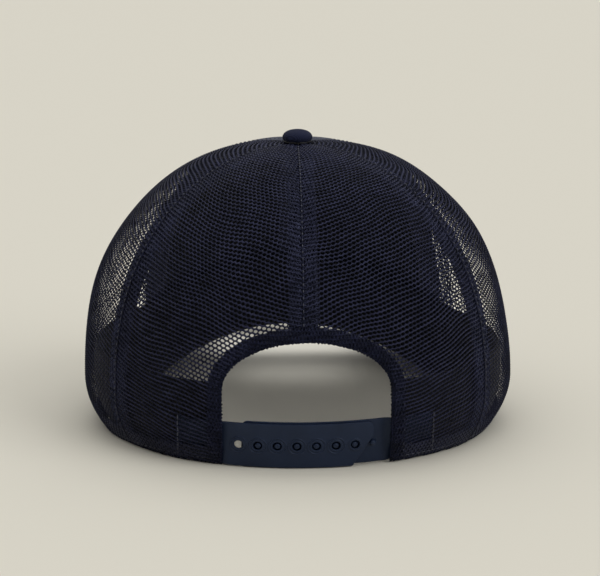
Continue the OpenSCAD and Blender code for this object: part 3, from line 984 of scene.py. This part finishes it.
def sweatband():
    """Soft band inside the rim: rounded upper edge, folded hem, slight ripples from sewing."""
    rows, cols = 26, 420
    a = np.linspace(SIDE_RIGHT, SIDE_LEFT, cols)[None, :]
    v = np.linspace(0, 1, rows)[:, None]
    s = height_step(rim_z(a) + BAND_HEM + BAND_H * v, BAND_D)
    ripple = 0.22 * np.sin(a * 1.9) * np.sin(v * 2.6) + 0.12 * np.sin(a * 4.3 + 1)
    thin = BAND_T / 2 * (1 - np.clip(2 * np.abs(v - 0.5), 0, 1) ** 10 * 0.75)
    middle = BAND_D + BAND_T / 2 + ripple * 0.6
    outer, inner = crown_point(a, s, middle - thin), crown_point(a, s, middle + thin)
    obj = shell("sweatband_cloth", outer, inner, BAND, flat_cloth(a * BAND_PER_DEG, BAND_H * v))
    finish_piece(obj, "sweatband", "sweatband")
    runs = []
    a = np.linspace(SIDE_RIGHT + 0.5, SIDE_LEFT - 0.5, 900)
    for rise in (2.0, BAND_H - 2.0):
        path = crown_point(a, height_step(rim_z(a) + BAND_HEM + rise, BAND_D), BAND_D + BAND_T + 0.1)
        runs.append(run_along(path, inward, 3.2, 2.4))
    stitches("sweatband_thread", runs, 0.2, slot="sweatband")


sweatband()


# ---- visor

CORNER_R = float(plan_radius(VISOR_END, -VISOR_GAP) * crown_scale(VISOR_LIFT))
CORNER_Y = -CORNER_R * math.cos(VISOR_END * DEG)


def visor_point(u, v, dz, grow=0.0):
    """Visor surface: u from -1 to 1 across, v from 0 at the crown to 1 at its edge, dz above its middle."""
    u, v, dz, grow = np.broadcast_arrays(np.asarray(u, float), v, dz, grow)
    a = 180 - VISOR_SPREAD * u
    z_in = rim_z(a) + VISOR_LIFT
    r_in = plan_radius(a, -VISOR_GAP) * crown_scale(z_in + dz)
    sx = np.sign(u) * np.sin(90 * DEG * np.abs(u)) ** VISOR_FULLNESS
    cy = np.clip(np.cos(90 * DEG * u), 0, 1) ** VISOR_FULLNESS
    x_out = (VISOR_HALF_W + grow) * sx
    y_out = CORNER_Y + (VISOR_TIP_Y - CORNER_Y + grow) * cy
    rise = (VISOR_TIP_Z - VISOR_SIDE_Z) * np.clip(1 - sx ** 2, 0, 1) ** 1.1
    z_out = VISOR_SIDE_Z + rise
    z = z_in + (z_out - z_in) * v + VISOR_BULGE * np.sin(180 * DEG * v) * np.cos(90 * DEG * u)
    x = r_in * np.sin(a * DEG) * (1 - v) + x_out * v
    y = -r_in * np.cos(a * DEG) * (1 - v) + y_out * v
    return np.stack([x, y, z + dz], -1)


def visor_cover(name, node, sign):
    """Cloth cover over or under the board; its outer edge and its ends roll round to meet the other cover."""
    cols, rows, roll = 150, 60, 7
    v = np.linspace(0, 1, rows)[:, None]
    angle = np.linspace(0, math.pi / 2, roll + 1)[1:]
    end = np.concatenate([angle[::-1], np.zeros(cols), angle])[None, :]
    u = np.concatenate([np.ones(roll), np.linspace(1, -1, cols), -np.ones(roll)])[None, :] * sign
    angle = angle[:, None]
    back = np.stack([-math.cos(VISOR_END * DEG) * np.sign(u), -math.sin(VISOR_END * DEG) + 0 * u, 0 * u], -1)
    back = back * np.sin(end)[..., None]
    puff = 0.072 * np.sin(v * 9 * math.pi) ** 2

    def layer(height, swell, edge_grow, end_grow):
        face = visor_point(u, v, sign * (height + swell) * np.cos(end))
        rolled = visor_point(u, 1.0, sign * height * np.cos(angle) * np.cos(end), edge_grow * np.sin(angle))
        return (np.concatenate([face, rolled]) + end_grow * back)[:, ::-1]

    outer = layer(VISOR_HALF_T - 0.1, puff, 1.1, 1.3)
    inner = layer(VISOR_HALF_T - VISOR_SKIN, 0.0, 0.45, 0.6)
    cloth = flat_cloth(u * VISOR_CLOTH[0], np.concatenate([v, 1 + angle * 0.015]) * VISOR_CLOTH[1])
    finish_piece(shell(name, outer, inner, TWILL, cloth[:, ::-1]), "twill", node)


def visor_stitches(name, sign):
    """Rows of stitching that follow the visor's edge on one face."""
    runs = []
    for v in VISOR_ROWS:
        reach = 0.985 if v > 0.9 else 0.97
        path = visor_point(np.linspace(-reach, reach, 700), v, sign * (VISOR_HALF_T + 0.06))
        runs.append(run_along(path, lambda p: np.tile([0.0, 0, sign], (len(p), 1)), 3.0, 2.35))
    stitches(name, runs, 0.21, 0.1)


for side, sign in (("top", 1), ("bottom", -1)):
    visor_cover("visor_" + side + "_cloth", "visor_" + side + "_cover", sign)
for side, sign in (("top", 1), ("bottom", -1)):
    visor_stitches("visor_thread_" + side, sign)


# ---- button

def button():
    """Cloth-covered cushion: widest below its middle, with gathers where the cloth is pulled under."""
    radius = (high("button_cover", 0) - low("button_cover", 0)) / 2
    base = low("button_cover", 2) - 0.4
    height = high("button_cover", 2) - base
    waist, lowest, highest = 0.42, -62, 89
    segments, rings = 96, 30
    turn = np.arange(segments) * 2 * math.pi / segments
    loops = []
    for k in range(rings):
        f = lowest + (highest - lowest) * k / (rings - 1)
        share = math.sin(f * DEG)
        part = waist + (1 - waist) * share if f > 0 else waist * (1 - share / math.sin(lowest * DEG))
        r = radius * math.cos(f * DEG) ** (0.85 if f > 0 else 0.6)
        under = np.clip(-share, 0, 1)
        gather = (0.10 * np.cos(turn * 8) + 0.06 * np.cos(turn * 13 + 1)) * (0.15 + under) * math.cos(f * DEG)
        x, y = (r + gather) * np.cos(turn), (r + gather) * np.sin(turn)
        loops.append(np.stack([x, y, np.full(segments, base + height * part)], -1))
    points = np.concatenate(loops)
    obj = make_object("button_cloth", points, tube_faces(rings, segments), BUTTON_TWILL, points * [1, 1, 0.5])
    finish_piece(obj, "twill", "button_cover")


button()
for node, material in (("button_shell", DARK_METAL), ("button_rivet", METAL), ("visor_board", BOARD)):
    frame["nodes"][node].data.materials[0] = material


# ---- closure straps

def strap_place(u, w, z, seat, root_x, sign):
    """Maps a flat strap to the cap: u along the strap's bend, w outwards, z up the strap.
    Past its root the strap follows the crown behind the mesh, where it is sewn."""
    f = u / STRAP_R
    x_flat = STRAP_R * np.sin(f)
    r = STRAP_R + seat + w
    lx, ly = r * np.sin(f), STRAP_R - r * np.cos(f)
    c, s = math.cos(STRAP_TILT * DEG), math.sin(STRAP_TILT * DEG)
    free = np.stack([STRAP_AT[0] + lx, STRAP_AT[1] + ly - z * s, STRAP_AT[2] + z * c], -1)
    sewn = back_point(lx, STRAP_AT[2] + z * c, TAB_D - w)
    share = smooth((sign * (root_x - x_flat) + 2.0) / 6.0)[:, None]
    return free * (1 - share) + sewn * share


def outline(u0, u1, z0, z1, corners, notch=None):
    """Counterclockwise outline of a strap; corners are the radii at its four corners."""
    points = []

    def arc(cx, cz, r, start):
        for k in range(7):
            t = (start + 15 * k) * DEG
            points.append((cx + r * math.cos(t), cz + r * math.sin(t)))

    arc(u0 + corners[0], z0 + corners[0], corners[0], 180)
    if notch:
        points += [(u1 - notch[0] - 0.4, z0), (u1 - notch[0] + 0.1, z0 + 0.25)]
        points += [(u1 - 0.15, notch[1] - 0.3), (u1, notch[1] + 0.25)]
    else:
        arc(u1 - corners[1], z0 + corners[1], corners[1], 270)
    arc(u1 - corners[2], z1 - corners[2], corners[2], 0)
    arc(u0 + corners[3], z1 - corners[3], corners[3], 90)
    dense = []
    for k, p in enumerate(points):
        q = points[(k + 1) % len(points)]
        steps = max(1, int(math.dist(p, q) / 1.2))
        dense += [(p[0] + (q[0] - p[0]) * j / steps, p[1] + (q[1] - p[1]) * j / steps) for j in range(steps)]
    return np.array(dense)


def inset(loop, by):
    """Moves a counterclockwise loop inwards."""
    along = unit(unit(np.roll(loop, -1, axis=0) - loop) + unit(loop - np.roll(loop, 1, axis=0)))
    return loop + np.stack([-along[:, 1], along[:, 0]], -1) * by


def circle(centre, r, sides=40):
    t = np.arange(sides) * 2 * math.pi / sides
    return np.stack([centre[0] + r * np.cos(t), centre[1] + r * np.sin(t)], -1)


def point_in_loop(p, loop):
    x, y = p
    a, b = loop, np.roll(loop, -1, axis=0)
    crosses = (a[:, 1] > y) != (b[:, 1] > y)
    gap = np.where(b[:, 1] == a[:, 1], 1e-9, b[:, 1] - a[:, 1])
    at = a[:, 0] + (y - a[:, 1]) * (b[:, 0] - a[:, 0]) / gap
    return bool(np.sum(crosses & (x < at)) % 2)


class Plate:
    """Flat plate with holes or pegs, built as one closed mesh in (u, w, z)."""

    def __init__(self):
        self.points, self.faces = [], []

    def loop(self, flat, w, lean=0.0):
        start = len(self.points)
        self.points += [(u + lean * w, w, z) for u, z in flat]
        return list(range(start, len(self.points)))

    def bridge(self, a, b):
        self.faces += [list(ids) for ids in zip(a, a[1:] + a[:1], b[1:] + b[:1], b)]

    def cover(self, border, holes, w, up):
        """Fills a face at height w between its border loop and the hole loops."""
        flat, edges, owner, loops = [], [], [], []
        for ids in [border] + holes:
            corners = [Vector((self.points[i][0], self.points[i][2])) for i in ids]
            edges += [(len(flat) + k, len(flat) + (k + 1) % len(ids)) for k in range(len(ids))]
            flat += corners
            owner += ids
            loops.append(np.array([tuple(p) for p in corners]))
        known = np.concatenate(loops)
        circles = [(loop.mean(0), np.linalg.norm(loop[0] - loop.mean(0))) for loop in loops[1:]]

        def on_face(p, share=1.0):
            clear = all(np.linalg.norm(p - centre) >= r * share for centre, r in circles)
            return clear and point_in_loop(p, loops[0])

        (u0, z0), (u1, z1) = known.min(0), known.max(0)
        for u in np.arange(u0 + 0.8, u1 - 0.5, 1.1):
            for z in np.arange(z0 + 0.8, z1 - 0.5, 1.3):
                p = np.array([u, z])
                if np.min(np.linalg.norm(known - p, axis=1)) >= 0.6 and on_face(p):
                    flat.append(Vector(p))
                    owner.append(len(self.points))
                    self.points.append((u, w, z))
        verts, _, tris, orig, _, _ = delaunay_2d_cdt(flat, edges, [], 0, 1e-6)
        for tri in tris:
            if on_face(np.mean([verts[i] for i in tri], axis=0), 0.985):
                ids = [owner[orig[i][0]] for i in tri]
                self.faces.append(ids if up else ids[::-1])


def lean_of(u):
    """Pegs and holes lean half way back from square, so that they part as the straps swing."""
    return -math.tan(u / STRAP_R / 2)


def strap_plate(border, features):
    """A strap's body with rounded edges. A feature is its place u, a front profile and, for a hole, a back
    profile; a profile lists (radius, height) from its foot inwards. Without a back profile it is a peg."""
    plate = Plate()
    half = STRAP_T / 2
    rings = []
    for k, t in enumerate(np.linspace(0, 180, 7) * DEG):
        flank = (k < 3) - (k > 3)
        w = (half - STRAP_BEVEL + STRAP_BEVEL * abs(math.cos(t))) * flank
        rings.append(plate.loop(inset(border, STRAP_BEVEL * (1 - math.sin(t))), w))
    for a, b in zip(rings, rings[1:]):
        plate.bridge(b, a)

    def raise_loops(side, sign):
        feet, ends = [], []
        for u, *profiles in features:
            lean = lean_of(u)
            loops = [plate.loop(circle((u, 0.0), r), sign * (half + h), lean) for r, h in profiles[side]]
            for a, b in zip(loops, loops[1:]):
                plate.bridge(*((a, b) if sign > 0 else (b, a)))
            feet.append(loops[0])
            ends.append(loops[-1])
        return feet, ends

    feet, ends = raise_loops(0, 1)
    back_feet = []
    if len(features[0]) == 3:
        back_feet, back_ends = raise_loops(1, -1)
        for front, back in zip(ends, back_ends):
            plate.bridge(front, back)
    else:
        plate.faces += ends
    plate.cover(rings[0], feet, half, True)
    plate.cover(rings[-1], back_feet, -half, False)
    return plate


def arc_length(x):
    """Length along the straps' bend to a sideways place."""
    return STRAP_R * math.asin(x / STRAP_R)


def frame_joint(name):
    """Place of a joint in the frame, in metres."""
    return next(joint["pos_m"] for joint in frame["record"]["behaviour"]["joints"] if joint["name"] == name)


def strap(name, border, features, seat, root_x, side, nodes):
    """One strap, built in place as a mesh; the CAD nodes that it stands for are hidden."""
    plate = strap_plate(border, features)
    u, w, z = np.array(plate.points).T
    points = strap_place(u, w, z, seat, root_x, side)
    obj = make_object(name + "_plastic", points, [f[::-1] for f in plate.faces], PLASTIC)
    obj.modifiers.new("even_shading", "WEIGHTED_NORMAL")
    x, y, z = frame_joint(name + "_flex")
    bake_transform(obj)
    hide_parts(*nodes)


FIRST_PEG = 1.2 - 2.5 * HOLE_PITCH
SEAT = STRAP_T / 2 + STRAP_GAP
RING = [(3.82, 0.0), (3.72, 0.18), (3.58, 0.26), (3.44, 0.18), (3.34, 0.0)]
RING_END = 15
BOSS = [(2.85, 0.0), (2.75, 0.16), (2.6, 0.22), (2.2, 0.22), (1.97, 0.17), (HOLE_R, 0.02), (HOLE_R, -0.5)]
HOLE_BACK = [(HOLE_R + 0.2, 0.0), (HOLE_R + 0.05, -0.06), (HOLE_R, -0.2)]
PEG = [(PEG_R + 0.3, 0.0), (PEG_R + 0.08, 0.08), (PEG_R, 0.3), (PEG_R - 0.28, 1.55)]
PEG += [(PEG_R - 0.4, 1.85), (0.75, 2.06), (0.35, 2.12)]

hole_places = [FIRST_PEG + k * HOLE_PITCH for k in range(-1, 6)]
strap(
    "hole_strap",
    outline(
        arc_length(PIVOT_X[0]) - TAB_LEN, arc_length(STRAP_END_X[1]), -STRAP_H / 2, STRAP_H / 2,
        (1.0, 0, 3.0, 1.0), (8.9, 3.8),
    ),
    [(u, RING + BOSS if u < RING_END else BOSS, HOLE_BACK) for u in hole_places],
    SEAT, PIVOT_X[0], 1, ("strap_holes", "strap_holes_tab"),
)
strap(
    "peg_strap",
    outline(
        arc_length(STRAP_END_X[0]), arc_length(PIVOT_X[1]) + TAB_LEN, -STRAP_H / 2 + 0.5, STRAP_H / 2 + 0.5,
        (2.5, 1.0, 1.0, 2.5),
    ),
    [(FIRST_PEG + k * HOLE_PITCH, PEG) for k in range(7)],
    -SEAT, PIVOT_X[1], -1, ("strap_pegs", "strap_pegs_tab"),
)


def tab_stitches():
    """Upright rows of thread that hold the straps' sewn ends."""
    runs = []
    for x in (PIVOT_X[0] - TAB_LEN + 2.6, PIVOT_X[1] + TAB_LEN - 2.6):
        z = np.linspace(2.2, 21.5, 200)
        runs.append(run_along(back_point(x + 0.15 * np.sin(z), z, -0.5), crown_normal, 2.6, 2.1))
    stitches("strap_thread", runs, 0.24, slot="mesh")


tab_stitches()


# ---- stage, light and camera

FLOOR_COLOUR = (0.70, 0.675, 0.594)

bpy.ops.mesh.primitive_plane_add(size=30)
floor = bpy.context.object
floor.name = "floor"
floor.data.materials.append(floor_material("pale_floor", FLOOR_COLOUR))


def studio():
    """Dome of soft light: bright overhead, a little brighter in front, dim low down behind the camera."""
    n = Nodes("studio", bpy.data.worlds, "Background")
    axes = n.add("ShaderNodeSeparateXYZ", {0: n.add("ShaderNodeTexCoord").outputs["Generated"]}).outputs
    upper = n.remap(axes[2], 0.15, 0.85, 0.065, 0.95, interpolation_type="SMOOTHSTEP")
    front = n.remap(axes[1], 0.1, 0.95, 0.0, 0.20, interpolation_type="SMOOTHSTEP")
    n.set(Strength=n.math("ADD", upper, front), Color=(1.0, 0.99, 0.97, 1))
    bpy.context.scene.world = n.owner


def towards(azimuth, elevation):
    """Unit vector; azimuth 0 is the camera's side (-Y), 90 is +X, both angles in degrees."""
    level = math.cos(elevation * DEG)
    x, y = math.sin(azimuth * DEG) * level, -math.cos(azimuth * DEG) * level
    return Vector((x, y, math.sin(elevation * DEG)))


def place_new(name, data):
    """A light or a camera, put in the scene."""
    obj = bpy.data.objects.new(name, data)
    bpy.context.scene.collection.objects.link(obj)
    return obj


def sun(name, strength, azimuth, elevation, angle):
    """Broad light from an azimuth and elevation."""
    light = bpy.data.lights.new(name, "SUN")
    light.energy = strength
    light.angle = angle * DEG
    place_new(name, light).rotation_euler = towards(azimuth, elevation).to_track_quat("Z", "Y").to_euler()


def floor_fill(name, y, z, width, depth, power):
    """Low light that opens up the shadow on the floor under the visor and the crown."""
    light = bpy.data.lights.new(name, "AREA")
    light.shape = "RECTANGLE"
    light.size = width
    light.size_y = depth
    light.energy = power
    obj = place_new(name, light)
    obj.location = (0, y, z)
    obj.visible_camera = False


studio()
sun("key", 0.32, 178, 66, 40)
sun("side", 0.90, 58, 30, 45)
floor_fill("visor_fill", 0.128, 0.011, 0.07, 0.035, 0.0082)
floor_fill("crown_fill", 0.074, 0.018, 0.05, 0.03, 0.0021)

CAMERA_AIM = Vector((0, 0, 0.06))
CAMERA_DISTANCE = 1.1
CAMERA_ELEVATION = 12.97
CAMERA_YAW = 1.83
CAMERA_LENS = 152.1
CAMERA_SHIFT = (0.0043, -0.0088)
camera_data = bpy.data.cameras.new("camera")
camera_data.sensor_width = 36
camera_data.lens = CAMERA_LENS
camera_data.shift_x, camera_data.shift_y = CAMERA_SHIFT
camera = place_new("camera", camera_data)
forward = -towards(-CAMERA_YAW, CAMERA_ELEVATION)
camera.location = CAMERA_AIM - CAMERA_DISTANCE * forward
camera.rotation_euler = forward.to_track_quat("-Z", "Y").to_euler()
bpy.context.scene.camera = camera
bpy.context.scene.view_settings.view_transform = "Standard"
